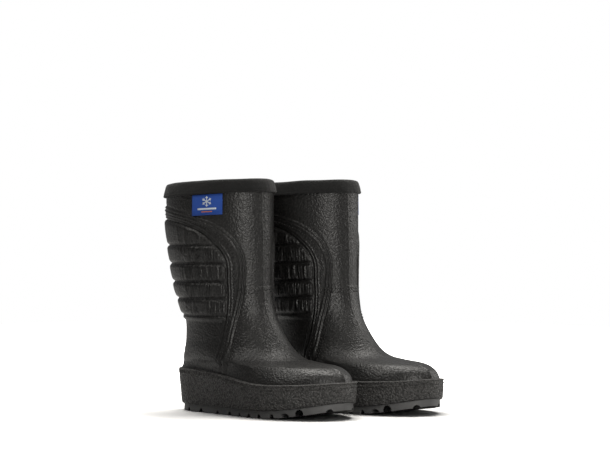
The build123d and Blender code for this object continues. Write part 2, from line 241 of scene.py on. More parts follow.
def place(points, side):
    """Left-boot millimetres to the row frame's metres, for one boot."""
    p = np.array(points, float).reshape(-1, 3)
    if side == "left":
        return (p + (BOOT_PITCH / 2, -STAGGER / 2 - BACK_SHIFT, 0)) * MM
    return (p * (-1, 1, 1) + (-BOOT_PITCH / 2, STAGGER / 2 - BACK_SHIFT, 0)) * MM


def piece(name, points, faces, side, material, body_name, replaced=()):
    """Makes one smooth piece of a boot that rides on a body."""
    if side == "right":
        faces = [face[::-1] for face in faces]
    mesh = bpy.data.meshes.new(name)
    mesh.from_pydata(place(points, side).tolist(), [], faces)
    mesh.polygons.foreach_set("use_smooth", [True] * len(mesh.polygons))
    mesh.update()
    made = bpy.data.objects.new(name, mesh)
    bpy.context.scene.collection.objects.link(made)
    made.data.materials.append(material)
    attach(made, body_name)
    if replaced:
        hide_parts(*replaced)
    return made


def rings_faces(ring_count, ring_size, closed=False):
    """Quads between each ring of points and the next. With closed, the last ring joins the first."""
    faces = []
    for i in range(ring_count if closed else ring_count - 1):
        low, high = i * ring_size, (i + 1) % ring_count * ring_size
        for j in range(ring_size):
            k = (j + 1) % ring_size
            faces.append((low + j, low + k, high + k, high + j))
    return faces


def capped(rings):
    """Points and faces of rings of points, each end closed at its own middle."""
    rings = np.array(rings)
    count, size = rings.shape[:2]
    points = np.vstack((rings.reshape(-1, 3), rings[0].mean(0), rings[-1].mean(0)))
    faces = rings_faces(count, size)
    first, last, top = count * size, count * size + 1, (count - 1) * size
    faces += [(first, (j + 1) % size, j) for j in range(size)]
    faces += [(last, top + j, top + (j + 1) % size) for j in range(size)]
    return points, faces


def looped(rings):
    """Points and faces of rings of points whose last joins the first, as on a tube bent round on itself."""
    rings = np.array(rings)
    return rings.reshape(-1, 3), rings_faces(rings.shape[0], rings.shape[1], closed=True)


def normals(grid):
    """Unit normals of a grid of points, rows upwards and columns closed round the boot."""
    up = np.gradient(grid, axis=0)
    across = np.roll(grid, -1, axis=1) - np.roll(grid, 1, axis=1)
    n = np.cross(across, up)
    return n / np.maximum(np.linalg.norm(n, axis=-1, keepdims=True), 1e-9)


def wobble(points, size, seed):
    """Smooth noise at points, from about -1 to 1, with features of this size. A seed picks the pattern."""
    flat = np.asarray(points, float).reshape(-1, points.shape[-1]) / size
    values = [noise.noise(Vector((*p, seed)[:3]) + Vector((0, 0, seed))) for p in flat.tolist()]
    return np.array(values).reshape(points.shape[:-1])


# ================ the upper's relief

def arc_rows(grid):
    """How far round each point of a grid lies: from the toe line, and from the arc origin, forwards."""
    step = np.linalg.norm(np.diff(np.concatenate((grid, grid[:, :1]), axis=1), axis=1), axis=-1)
    run = np.concatenate((np.zeros((len(grid), 1)), np.cumsum(step, axis=1)), axis=1)
    total, run = run[:, -1:], run[:, :-1]
    from_toe = np.minimum(run, total - run)
    arc = np.empty_like(run)
    for row in range(len(grid)):
        forward = -grid[row, :, 1]
        back = int(np.argmin(forward))
        outer = np.interp(-ARC_ORIGIN, -forward[: back + 1], from_toe[row, : back + 1])
        inner = np.interp(-ARC_ORIGIN, -forward[back:][::-1], from_toe[row, back:][::-1])
        arc[row, : back + 1] = outer - from_toe[row, : back + 1]
        arc[row, back + 1 :] = inner - from_toe[row, back + 1 :]
    return from_toe, arc


def on_leg(edge, outer):
    """A side-view curve as (arc from the origin, height) on the outer or the inner side of the upper."""
    edge = through(edge, 160)
    angle = np.linspace(0, pi, 241) * (1 if outer else -1)
    rows = body(UPPER, angle[None, :], edge[:, 1:2])
    step = np.linalg.norm(np.diff(rows, axis=1), axis=-1)
    run = np.concatenate((np.zeros((len(rows), 1)), np.cumsum(step, axis=1)), axis=1)
    arcs = []
    for row, (forward, _) in enumerate(edge):
        at = np.interp([-ARC_ORIGIN, -forward], rows[row, :, 1], run[row])
        past_back = max(0.0, -forward - rows[row, -1, 1])
        arcs.append(at[0] - at[1] - past_back)
    return np.stack((arcs, edge[:, 1]), axis=-1)


def beside(curve, arc, height):
    """Distance from each point to a curve, positive on its right as it runs."""
    best = np.full(arc.shape, 1e9)
    signed = np.zeros(arc.shape)
    for (a0, h0), (a1, h1) in zip(curve, curve[1:]):
        da, dh = a1 - a0, h1 - h0
        length = max(da * da + dh * dh, 1e-9)
        t = np.clip(((arc - a0) * da + (height - h0) * dh) / length, 0, 1)
        x, y = arc - a0 - t * da, height - h0 - t * dh
        distance = x * x + y * y
        nearer = distance < best
        best = np.where(nearer, distance, best)
        signed = np.where(nearer, np.where(da * (height - h0) - dh * (arc - a0) > 0, -1.0, 1.0), signed)
    return np.sqrt(best) * signed


def rounded(a, b, radius):
    """Distance inside a corner between two edges, given the distance inside each, with a round corner."""
    corner = (a < radius) & (b < radius)
    round_part = radius - np.hypot(radius - a, radius - b)
    return np.where(corner, round_part, np.minimum(a, b))


def pillow(inside, edge):
    """A padded edge's profile: 0 at the edge, rising steeply and levelling out this far inside."""
    x = np.clip(inside / edge, 0, 1)
    return np.sqrt(1 - (1 - x) ** 2)


def band_relief(past_outer, past_inner, height):
    """The band: a low plateau with a double ridge along each edge. The pairs widen and merge low down."""
    low_down = smooth((70 - height) / 22)
    wide = 1 + 1.1 * low_down
    second = 1 - low_down
    out = 0.8 * smooth(-past_outer / 1.4) * smooth(-past_inner / 1.4)
    out += 1.0 * bump(past_outer + 0.3 * wide, 0.75 * wide) - 0.6 * bump(past_outer + 1.9 * wide, 0.7 * wide)
    out += 0.75 * second * bump(past_outer + 3.4, 0.75) - 0.5 * bump(past_outer - 1.3 * wide, 0.8 * wide)
    out += 1.0 * bump(past_inner + 0.3 * wide, 0.75 * wide) - 0.55 * bump(past_inner + 1.8 * wide, 0.6 * wide)
    out += 0.7 * second * bump(past_inner + 3.1, 0.70) - 0.5 * bump(past_inner - 1.2 * wide, 0.7 * wide)
    return out


def add_ribs(out, inside, arc, height):
    """Puts the ribs on the relief: pillows between the seams, fullest towards the top, creased up and down."""
    tops = [400.0] + RIB_SEAMS[:-1]
    for number, (low, high) in enumerate(zip(RIB_SEAMS, tops)):
        rib_low, rib_high = low + RIB_CREASE, high - RIB_CREASE
        across = np.minimum(height - rib_low, rib_high - height)
        depth = rounded(across, inside, RIB_EDGE)
        on_rib = depth > 0
        up = np.clip((height - rib_low) / (min(rib_high, RIB_TOP) - rib_low), 0, 1)
        full = RIB_RISE * pillow(depth, RIB_EDGE) + 0.5 * np.sin(pi * up) ** 0.8 + 0.8 * (up - 0.5)
        out = np.where(on_rib, np.maximum(full, 0.0), out)
        spot = np.stack((arc[on_rib] / WRINKLE_PITCH, height[on_rib] / WRINKLE_LENGTH), axis=-1)
        line = wobble(spot, 1.0, seed=4.0 + 9.0 * number)
        fade = wobble(spot * (0.35, 1.2), 1.0, seed=50.0 + number)
        shown = smooth(0.95 + 1.3 * fade) * smooth((arc[on_rib] + 46) / 40) * smooth(depth[on_rib] / 2.2)
        out[on_rib] += WRINKLE_RISE * shown * (bump(line, 0.16) - 0.55 * bump(line - 0.3, 0.2))
    return out


def heel_relief(past_inner, inside, height):
    """Under the last rib: a bead, and the plain heel panel, sunk in, with a soft round corner."""
    last_seam = RIB_SEAMS[-1]
    bead = smooth(inside / 1.2) * 0.9 * bump(height - (last_seam - 2.6), 1.2)
    panel = rounded(last_seam - 4.4 - height, past_inner - 4.2, 2.5)
    sunk = 0.85 * smooth(panel / 1.6) * (height < last_seam)
    rim = 0.25 * bump(panel, 0.8) * (height < last_seam - 3)
    return bead - sunk + rim


def front_relief(past_outer, from_toe, height):
    """The vamp's upper edge across the front, and the mould's parting line from the collar to the toe."""
    before_band = smooth((past_outer - 0.6) / 1.2)
    below = VAMP_SEAM - height
    step = 0.5 * smooth(below / 1.0 + 0.5) * (1 - smooth(below / 22.0))
    groove = 0.3 * bump(below + 0.6, 0.7)
    parting = 0.32 * bump(from_toe, 0.55) + 0.6 * bump(from_toe, 0.8) * (1 - smooth((height - 40) / 14))
    return before_band * (step - groove + parting)


def relief(grid):
    """How far each point of the upper stands out from its plain surface."""
    height = grid[..., 2]
    from_toe, arc = arc_rows(grid)
    back = int(np.argmax(grid[-1, :, 1]))
    past_outer = np.empty(grid.shape[:2])
    past_inner = np.empty(grid.shape[:2])
    for outer, half in ((True, slice(0, back + 1)), (False, slice(back + 1, None))):
        past_outer[:, half] = -beside(on_leg(BAND_OUTER_EDGE, outer), arc[:, half], height[:, half])
        past_inner[:, half] = beside(on_leg(BAND_INNER_EDGE, outer), arc[:, half], height[:, half])
    inside = past_inner - RIB_GAP
    out = add_ribs(band_relief(past_outer, past_inner, height), inside, arc, height)
    out += heel_relief(past_inner, inside, height) + front_relief(past_outer, from_toe, height)
    return out * smooth((height - ease(WELT_LINE, -grid[..., 1]) - 0.3) / 3.0)


# ================ materials

def nodes_of(name):
    """A new material with its node tree and its shader."""
    material = bpy.data.materials.new(name)
    material.use_nodes = True
    tree = material.node_tree
    shader = next(node for node in tree.nodes if node.type == "BSDF_PRINCIPLED")
    return material, tree, shader


def add_node(tree, kind, inputs=(), **settings):
    """A node with these settings, and with constants or links on its input sockets."""
    node = tree.nodes.new(kind)
    for key, value in settings.items():
        setattr(node, key, value)
    for socket, value in dict(inputs).items():
        if isinstance(value, bpy.types.NodeSocket):
            tree.links.new(value, node.inputs[socket])
        else:
            node.inputs[socket].default_value = value
    return node


def texture_space(tree, scale=(1, 1, 1)):
    """The material's own object space, in millimetres times a scale along each axis."""
    own_space = add_node(tree, "ShaderNodeTexCoord").outputs["Object"]
    inputs = {"Vector": own_space, "Scale": [1000 * s for s in scale]}
    return add_node(tree, "ShaderNodeMapping", inputs).outputs[0]


def grain(tree, space, size, kind="cells"):
    """A height from 0 to 1 that varies over this many millimetres."""
    inputs = {"Vector": space, "Scale": 1 / size}
    if kind == "cells":
        return add_node(tree, "ShaderNodeTexVoronoi", inputs, feature="SMOOTH_F1").outputs["Distance"]
    return add_node(tree, "ShaderNodeTexNoise", {**inputs, "Detail": 3.0}).outputs["Fac"]


def mix_values(tree, a, b, share):
    """share of b with the rest of a."""
    return add_node(tree, "ShaderNodeMix", {0: share, 2: a, 3: b}, data_type="FLOAT").outputs[0]


def ramp(tree, value, low, high, start, end):
    """Turns a value between low and high into one between start and end."""
    inputs = {"Value": value, "From Min": low, "From Max": high, "To Min": start, "To Max": end}
    return add_node(tree, "ShaderNodeMapRange", inputs).outputs[0]


def bumps(tree, shader, layers):
    """Adds layers of (height, distance in millimetres, strength) to the shader's normal."""
    normal = None
    for height, distance, strength in layers:
        inputs = {"Height": height, "Distance": distance * MM, "Strength": strength}
        if normal:
            inputs["Normal"] = normal
        normal = add_node(tree, "ShaderNodeBump", inputs).outputs[0]
    tree.links.new(normal, shader.inputs["Normal"])


def tint(tree, shader, value, dark, light):
    """Colours the shader between two linear greys or colours by a value from 0 to 1."""
    mixed = add_node(tree, "ShaderNodeMix", {0: value, 6: (*dark, 1), 7: (*light, 1)}, data_type="RGBA")
    tree.links.new(mixed.outputs[2], shader.inputs["Base Color"])


def grey(value, warm=0.0):
    """A linear grey, turned towards yellow by a share."""
    return value * (1 + warm), value, value * (1 - warm)


def moulded_upper():
    """Satin black foam with a fine leather grain, a little paler in patches."""
    material, tree, shader = nodes_of("moulded_upper")
    space = texture_space(tree)
    fine, coarse = grain(tree, space, 1.7), grain(tree, space, 26.0, "noise")
    shade = mix_values(tree, ramp(tree, fine, 0.05, 0.6, 0, 1), ramp(tree, coarse, 0.3, 0.7, 0, 1), 0.2)
    tint(tree, shader, shade, grey(0.021, 0.04), grey(0.003, 0.03))
    tree.links.new(ramp(tree, fine, 0.1, 0.7, 0.35, 0.48), shader.inputs["Roughness"])
    shader.inputs["Specular IOR Level"].default_value = 0.5
    bumps(tree, shader, [(fine, 0.5, 0.9), (grain(tree, space, 2.3, "noise"), 0.42, 0.6),
                         (grain(tree, space, 0.7, "noise"), 0.16, 0.5)])
    return material


def sole_foam():
    """Dark grey foam with a pebbled face."""
    material, tree, shader = nodes_of("sole_foam")
    space = texture_space(tree)
    pebbles = grain(tree, space, 1.6)
    tint(tree, shader, ramp(tree, pebbles, 0.1, 0.6, 1, 0), grey(0.020, 0.03), grey(0.078, 0.03))
    tree.links.new(ramp(tree, pebbles, 0.1, 0.6, 0.42, 0.62), shader.inputs["Roughness"])
    bumps(tree, shader, [(pebbles, 1.5, 1.0), (grain(tree, space, 0.8, "noise"), 0.35, 0.7)])
    return material


def tread_rubber():
    """Smooth grey rubber with faint smears."""
    material, tree, shader = nodes_of("tread_rubber")
    space = texture_space(tree)
    smears = grain(tree, space, 9.0, "noise")
    tint(tree, shader, ramp(tree, smears, 0.3, 0.7, 0, 1), grey(0.085), grey(0.105))
    tree.links.new(ramp(tree, smears, 0.3, 0.7, 0.48, 0.60), shader.inputs["Roughness"])
    bumps(tree, shader, [(grain(tree, space, 0.9, "noise"), 0.12, 0.4)])
    return material


def cuff_textile():
    """Matte black cloth with a short pile."""
    material, tree, shader = nodes_of("cuff_textile")
    space = texture_space(tree)
    weave, pile = grain(tree, texture_space(tree, (1, 1, 1.6)), 0.9), grain(tree, space, 0.45, "noise")
    tint(tree, shader, ramp(tree, pile, 0.3, 0.7, 0, 1), grey(0.008), grey(0.016))
    shader.inputs["Roughness"].default_value = 0.92
    shader.inputs["Specular IOR Level"].default_value = 0.25
    shader.inputs["Sheen Weight"].default_value = 0.12
    bumps(tree, shader, [(weave, 0.4, 0.6), (pile, 0.3, 0.5)])
    return material


def knit(name, low, high, size=1.6):
    """Knit or felt between two linear greys."""
    material, tree, shader = nodes_of(name)
    loops = grain(tree, texture_space(tree, (1, 1, 0.6)), size)
    tint(tree, shader, ramp(tree, loops, 0.1, 0.6, 1, 0), grey(low), grey(high))
    shader.inputs["Roughness"].default_value = 0.95
    shader.inputs["Sheen Weight"].default_value = 0.15
    bumps(tree, shader, [(loops, 0.5, 0.7), (grain(tree, texture_space(tree), 0.4, "noise"), 0.2, 0.4)])
    return material


def fibre_board():
    """Pressed brown fibre."""
    material, tree, shader = nodes_of("fibre_board")
    fibres = grain(tree, texture_space(tree, (1, 0.4, 1)), 0.8, "noise")
    tint(tree, shader, ramp(tree, fibres, 0.3, 0.7, 0, 1), (0.30, 0.25, 0.18), (0.42, 0.36, 0.27))
    shader.inputs["Roughness"].default_value = 0.9
    bumps(tree, shader, [(fibres, 0.2, 0.4)])
    return material


def woven(name, dark, light):
    """Woven threads between two linear colours, running across the label and up it."""
    material, tree, shader = nodes_of(name)
    space = texture_space(tree)
    wave = add_node(tree, "ShaderNodeTexWave", {"Vector": space, "Scale": 1.1}, bands_direction="Z")
    across = wave.outputs["Fac"]
    speck = grain(tree, space, 0.5, "noise")
    tint(tree, shader, mix_values(tree, across, speck, 0.5), dark, light)
    shader.inputs["Roughness"].default_value = 0.75
    bumps(tree, shader, [(across, 0.12, 0.5), (speck, 0.1, 0.4)])
    return material


MATERIALS = {
    "moulded_upper": moulded_upper(),
    "sole_foam": sole_foam(),
    "tread_rubber": tread_rubber(),
    "cuff_textile": cuff_textile(),
    "knit_lining": knit("knit_lining", 0.008, 0.016),
    "felt": knit("felt", 0.05, 0.09, 1.1),
    "fibre_board": fibre_board(),
    "woven_label": woven("woven_label", (0.011, 0.058, 0.300), (0.016, 0.085, 0.440)),
    "label_white": woven("label_white", (0.52, 0.60, 0.66), (0.74, 0.80, 0.84)),
    "label_orange": woven("label_orange", (0.50, 0.13, 0.02), (0.75, 0.22, 0.04)),
}


# ================ stitches

# Along a stitch: the share of its length and of its full thickness there. Round it: shares of half a turn.
STITCH_SHAPE = ((0.0, 0.25), (0.14, 0.8), (0.5, 1.0), (0.86, 0.8), (1.0, 0.25))
STITCH_TURNS = (0, 0.25, 0.5, 0.75, 1.0)
STITCH_SUNK, STITCH_ROOT = 0.25, 0.6
UPPER_STITCH, LIP_STITCH = (1.9, 1.1), (2.7, 1.5)  # length and gap
VAMP_THREAD, BAND_THREAD, LIP_THREAD = (0.7, 0.95), (0.62, 0.85), (0.75, 1.1)  # half width and rise


class Stitches:
    """Collects little threads as one piece."""

    def __init__(self):
        self.points, self.faces = [], []

    def add(self, start, end, outward, half_width, rise):
        """One stitch from start to end, standing out of the surface by rise."""
        start, end, outward = (np.array(v, float) for v in (start, end, outward))
        along = (end - start) / max(np.linalg.norm(end - start), 1e-6)
        side = np.cross(outward, along)
        first, size = len(self.points), len(STITCH_TURNS) + 1
        for share, scale in STITCH_SHAPE:
            middle = start + (end - start) * share
            for turn in STITCH_TURNS:
                angle = pi * turn
                lift = rise * scale * sin(angle) - STITCH_SUNK
                self.points.append(middle + side * half_width * scale * cos(angle) + outward * lift)
            self.points.append(middle - outward * STITCH_ROOT)
        last = len(self.points) - size
        for low in range(first, last, size):
            for j in range(size):
                k = (j + 1) % size
                self.faces.append((low + j, low + size + j, low + size + k, low + k))
        self.faces.append(tuple(range(first, first + size)))
        self.faces.append(tuple(range(last + size - 1, last - 1, -1)))


def surface_walk(line, surface, length, gap):
    """Evenly long (start, end, outward) steps along a line of points on a surface with normals."""
    line, surface = np.asarray(line, float), np.asarray(surface, float)
    run = np.concatenate(([0], np.cumsum(np.linalg.norm(np.diff(line, axis=0), axis=1))))
    at = 0.0
    while at + length < run[-1]:
        ends = [[np.interp(p, run, line[:, axis]) for axis in range(3)] for p in (at, at + length)]
        out = np.array([np.interp(at + length / 2, run, surface[:, axis]) for axis in range(3)])
        yield ends[0], ends[1], out / np.linalg.norm(out)
        at += length + gap


# ================ the pieces of one boot, in millimetres

def side_angle(forward, height, outer):
    """The angle round the upper of the point at this forward position and height."""
    front, back = ease(UPPER_FRONT, height), ease(UPPER_BACK, height)
    angle = np.arccos(np.clip(2 * (forward - back) / (front - back) - 1, -1, 1))
    return angle if outer else 2 * pi - angle


class Upper:
    """The moulded upper: its outside as a grid of points with their relief, and its inside."""

    def __init__(self):
        self.angle = columns(UPPER_COLUMNS, dense=(BAND_COLUMNS,))
        self.low = body_meets(UPPER, lambda forward: ease(WELT_LINE, forward) - 1.3, self.angle)
        self.top = collar(SHELL_TOP, -body(UPPER, self.angle, LEG_TOP)[..., 1])
        rows = even_rows(UPPER_FRONT, self.low[0], self.top[0], ROW_STEP, ROW_PULL)
        self.share = (rows - rows[0]) / (rows[-1] - rows[0])
        height = self.low + (self.top - self.low) * self.share[:, None]
        plain = body(UPPER, self.angle, height)
        self.normal = normals(plain)
        self.grid = plain + self.normal * relief(plain)[..., None]

    def at(self, forward, height, outer):
        """The surface's point and normal at a forward position and height on one side."""
        angle = side_angle(forward, height, outer)
        column = np.interp(angle, np.append(self.angle, 2 * pi), np.arange(len(self.angle) + 1))
        low, top = (np.interp(angle, self.angle, values) for values in (self.low, self.top))
        row = np.interp((height - low) / (top - low), self.share, np.arange(len(self.share)))
        i, j = min(int(row), len(self.share) - 2), int(column) % len(self.angle)
        k, u, v = (j + 1) % len(self.angle), row - int(row), column - int(column)
        found = []
        for values in (self.grid, self.normal):
            found.append((values[i, j] * (1 - v) + values[i, k] * v) * (1 - u)
                         + (values[i + 1, j] * (1 - v) + values[i + 1, k] * v) * u)
        return found

    def mesh(self):
        """The whole shell: up the outside, over the collar, and down the inside."""
        inner = []
        for share in np.linspace(1, 0, 26) ** 1.3:
            height = self.low + (self.top - self.low) * share
            inner.append(body(CAVITY, self.angle, height, 0.05))
        return looped([*self.grid, *inner])


def beside_edge(edge, offset):
    """A side-view curve moved forwards of an edge by an offset, as dense (forward, height) points."""
    line = through(edge, 260)
    run = np.gradient(line, axis=0)
    across = np.stack((-run[:, 1], run[:, 0]), axis=-1)
    across /= np.linalg.norm(across, axis=-1, keepdims=True)
    return line + across * offset


def upper_stitches(upper):
    """The moulded stitch rows: two under the vamp seam, two before the band's edge and one along the band."""
    thread = Stitches()
    for outer in (True, False):
        for drop in (3.0, 6.2):
            forward = np.linspace(-13.4, ease(UPPER_FRONT, VAMP_SEAM - drop) - 0.4, 40)
            walk = [upper.at(f, VAMP_SEAM - drop, outer) for f in forward]
            for step in surface_walk(*zip(*walk), *UPPER_STITCH):
                thread.add(*step, *VAMP_THREAD)
        for offset, low, high in ((2.6, 44, VAMP_SEAM - 9), (5.4, 44, VAMP_SEAM - 9), (-6.0, 44, 186)):
            line = [(f, h) for f, h in beside_edge(BAND_OUTER_EDGE, offset) if low < h < high and f > -112]
            walk = [upper.at(f, h, outer) for f, h in line]
            for step in surface_walk(*zip(*walk), *UPPER_STITCH):
                thread.add(*step, *BAND_THREAD)
    return thread


def lip(forward):
    """Height of the lip's top."""
    return ease(WELT_LINE, forward)


def tread_top(forward):
    """Height at which the foam meets the tread."""
    return spring(forward) + TREAD_THICKNESS


def at_side(angle, line, grow):
    """Points of the sole's side at a line of heights, this far outside the plain side."""
    height = where_meets(lambda turn, height: sole(turn, height, grow), line, angle)
    return sole(angle, height, grow)


def wall_line(share):
    """The line of heights this share of the way up the wall."""
    return lambda f: tread_top(f) + 0.8 + (lip(f) - LIP_BAND - tread_top(f) - 1.8) * share


def pebbled_wall(angle):
    """Rings up the sole's wall, from the tread to the lip."""
    shares = np.linspace(0, 1, int(34 * FINE))
    wall = np.array([at_side(angle, wall_line(share), 0.0) for share in shares])
    pebble = bump(wobble(wall, 1.9, seed=3.0) - 0.1, 0.35) + 0.5 * wobble(wall, 4.5, seed=8.0)
    strength = 0.22 + 0.22 * smooth((-wall[..., 1] + 20) / 60)
    fade = smooth(shares / 0.12) * smooth((1 - shares) / 0.12)
    return wall + normals(wall) * (strength * pebble * fade[:, None])[..., None]


def lip_band(angle, wall_top):
    """Rings round the lip: the stitched band between two edges, with the mould's ragged flash at the toe."""
    flash = 0.9 * np.abs(wobble(wall_top, 3.0, seed=5.0)) * smooth((-wall_top[:, 1] - 62) / 25)
    # Height above the band's foot, how far out, and how much of the flash.
    profile = ((-0.5, 0.15, 0), (-0.1, 0.65, 0.4), (0.35, 0.7, 0.4), (0.8, 0.2, 0), (1.4, 0.0, 0),
               (2.2, 0.0, 0), (LIP_BAND - 0.9, 0.2, 0), (LIP_BAND - 0.35, 0.75, 1), (LIP_BAND, 0.8, 1),
               (LIP_BAND + 0.2, 0.5, 0.5))
    rings = []
    for above, grow, rough in profile:
        rings.append(at_side(angle, lambda f: lip(f) - LIP_BAND + above, grow + rough * flash))
    return rings


def cup(angle, outside):
    """Rings over the lip's ledge, down beside the upper, and down the cup inside to the footbed."""
    top_height = body_meets(UPPER, lambda f: lip(f) + 0.9, angle)
    inside = body(UPPER, angle, top_height, 0.15)
    rings = [outside + (inside - outside) * share for share in (0.3, 0.65, 1.0)]
    rings.append(body(UPPER, angle, top_height - 0.6, -0.9))
    rings.append(body(UPPER, angle, top_height - 2.4, -2.0))
    cup_top = body_meets(CAVITY, lambda f: lip(f) - 1.6, angle)
    floor_height = body_meets(CAVITY, lambda f: ease(FOOTBED, f), angle)
    for share in (0, 0.25, 0.5, 0.75, 0.96):
        rings.append(body(CAVITY, angle, cup_top + (floor_height - cup_top) * share, 0.1))
    return rings + floor_rings(body(CAVITY, angle, floor_height), 0.0)


def sole_rings():
    """The foam sole's surface, from its underside to its footbed, and the lip's line for the stitches."""
    angle = columns(SOLE_COLUMNS)
    edge = at_side(angle, tread_top, -1.0)
    middle = np.array((0, 0, TREAD_THICKNESS))
    rings = [middle + (edge - middle) * share for share in (0.02, 0.5, 0.97)]
    rings.append(at_side(angle, lambda f: tread_top(f) + 0.25, -0.3))
    wall = pebbled_wall(angle)
    band = lip_band(angle, wall[-1])
    seam = at_side(angle, lambda f: lip(f) - LIP_BAND / 2, 0.0)
    outward = normals(np.array([seam, seam + (0, 0, 1)]))[0]
    return [*rings, *wall, *band, *cup(angle, band[-1])], (seam, outward)


def footbed_ring(edge, share, raised):
    """A ring over the footbed, drawn in from its edge and raised."""
    ring = edge * (share, share, 1)
    ring[:, 2] = ease(FOOTBED, -ring[:, 1]) + raised
    return ring


def floor_rings(edge, raised):
    """Rings that close a footbed, from its edge in to the middle."""
    return [footbed_ring(edge, share, raised) for share in (0.98, 0.85, 0.65, 0.42, 0.2, 0.03)]


def lip_stitches(line, surface):
    """Threads along the lip's band, from heel to waist on both sides."""
    thread = Stitches()
    back = len(line) // 2
    for part in (slice(0, back), slice(back, len(line))):
        path, out = line[part], surface[part]
        behind = -path[:, 1] < 22
        for step in surface_walk(path[behind], out[behind], *LIP_STITCH):
            thread.add(*step, *LIP_THREAD)
    return thread


def lining_rings():
    """The knitted sock: outside from its sole up, over the top, and down the inside to its sole."""
    angle = columns(LINING_COLUMNS)
    top = collar(SHELL_TOP - 0.3, -body(CAVITY, angle, LEG_TOP)[..., 1])
    shares = np.linspace(0, 1, 90) ** 1.25
    rings = []
    for grow, raised, order in ((-0.08, BOARD_THICKNESS, 1),
                                (-LINING_THICKNESS, BOARD_THICKNESS + LINING_THICKNESS, -1)):
        low = body_meets(CAVITY, lambda f: ease(FOOTBED, f) + raised, angle, grow)
        floor = floor_rings(body(CAVITY, angle, low, grow), raised)[::-1]
        walls = np.array([body(CAVITY, angle, low + (top - low) * share, grow) for share in shares])
        if order < 0:
            walls = walls - normals(walls) * (0.22 * (wobble(walls, 7.0, seed=2.0) - 0.6))[..., None]
        rings += [*floor, *walls][::order]
    return rings


def insole_rings():
    """The loose felt insole, a slab with soft edges."""
    angle = columns(LINING_COLUMNS)
    low = BOARD_THICKNESS + LINING_THICKNESS + INSOLE_CLEARANCE
    side = -LINING_THICKNESS - INSOLE_SIDE_GAP
    edge = body(CAVITY, angle, 24.0, side)
    top = low + INSOLE_THICKNESS
    profile = [(0.02, low), (0.5, low), (0.93, low), (0.985, low + 0.4), (1.0, low + 1.4), (1.0, low + 2.8),
               (0.985, low + 3.7), (0.94, top), (0.8, top), (0.6, top), (0.4, top), (0.2, top), (0.02, top)]
    return [footbed_ring(edge, share, raised) for share, raised in profile]


def leg_point(angle, grow, height):
    """Points round the top of the leg, this far outside it, on the collar's sloping plane."""
    forward, outward = outline(LEG_FRONT + grow, LEG_BACK - grow, LEG_HALF_WIDTH + grow, 1.0, angle)
    return np.stack((outward, -forward, collar(height, forward)), axis=-1)


def cuff_rings():
    """The cuff: a textile band turned over the end of the leg. Each ring is its section at one angle."""
    wall = LEG_WALL + LINING_THICKNESS
    facing = -wall - CUFF_WALL
    profile = [(0.35, CUFF_BOTTOM + 0.35), (1.2, CUFF_BOTTOM), (CUFF_PROUD - 0.5, CUFF_BOTTOM + 0.05),
               (CUFF_PROUD, CUFF_BOTTOM + 0.75), (CUFF_PROUD - 0.1, CUFF_BOTTOM + 2.0),
               (CUFF_PROUD - 0.8, CUFF_BOTTOM + 5.0), (CUFF_PROUD - 1.6, CUFF_BOTTOM + 8.2),
               (CUFF_PROUD - 2.6, CUFF_TOP - 1.6), (CUFF_PROUD - 4.2, CUFF_TOP - 0.1), (-4.0, CUFF_TOP + 0.45),
               (-7.5, CUFF_TOP + 0.3), (-wall - 0.6, CUFF_TOP - 0.7), (facing, CUFF_TOP - 3.0),
               (facing, CUFF_TOP - 9.0), (facing, CUFF_FACING_BOTTOM + 5.0),
               (facing + 0.1, CUFF_FACING_BOTTOM + 1.0), (-wall - CUFF_WALL / 2, CUFF_FACING_BOTTOM + 0.1),
               (-wall - 0.1, CUFF_FACING_BOTTOM + 0.6), (-wall - 0.05, CUFF_FACING_BOTTOM + 8.0),
               (-wall - 0.05, SHELL_TOP - 0.5), (-wall + 1.0, SHELL_TOP + 0.1), (-0.8, SHELL_TOP + 0.1),
               (0.1, SHELL_TOP - 0.9), (0.12, CUFF_BOTTOM + 3.0)]
    smooth_profile = through(profile + profile[:1], int(96 * FINE))[:-1]
    angle = columns(CUFF_COLUMNS)
    rings = np.array([leg_point(angle, grow, height) for grow, height in smooth_profile])
    outer = smooth((smooth_profile[:, 0] + 9) / 4) * smooth((smooth_profile[:, 1] - CUFF_BOTTOM + 1.5) / 3.0)
    soft = 0.55 * wobble(rings, 15.0, seed=6.0) + 0.18 * wobble(rings, 4.0, seed=7.0)
    outward = np.stack((np.sin(angle), -np.cos(angle), np.zeros_like(angle)), axis=-1)
    seam = bump(smooth_profile[:, 1] - CUFF_BOTTOM - 2.3, 0.45) * (smooth_profile[:, 0] > 1.0)
    rings = rings + outward * (outer[:, None] * soft - 0.28 * seam[:, None])[..., None]
    sway = smooth((rings[..., 2] - CUFF_BOTTOM) / 9)
    rings[..., 2] += 0.7 * outer[:, None] * wobble(rings, 26.0, seed=9.0) * sway
    return rings.transpose(1, 0, 2)[:, ::-1]


# ---- label

def label_point(across, drop, lift):
    """A point of the label: across it forwards, down from its top edge, and out from its inner face."""
    turn = radians(LABEL_ANGLE) - across / LABEL_BEND_RADIUS
    wave = LABEL_WAVE * smooth(drop / LABEL_HEIGHT) * (0.6 + sin(across / 5.0))
    grow = LABEL_GAP + lift + wave
    forward, outward = outline(LEG_FRONT + grow, LEG_BACK - grow, LEG_HALF_WIDTH + grow, 1.0, np.array(turn))
    return float(outward), float(-forward), float(collar(CUFF_BOTTOM - LABEL_DROP - drop, forward))


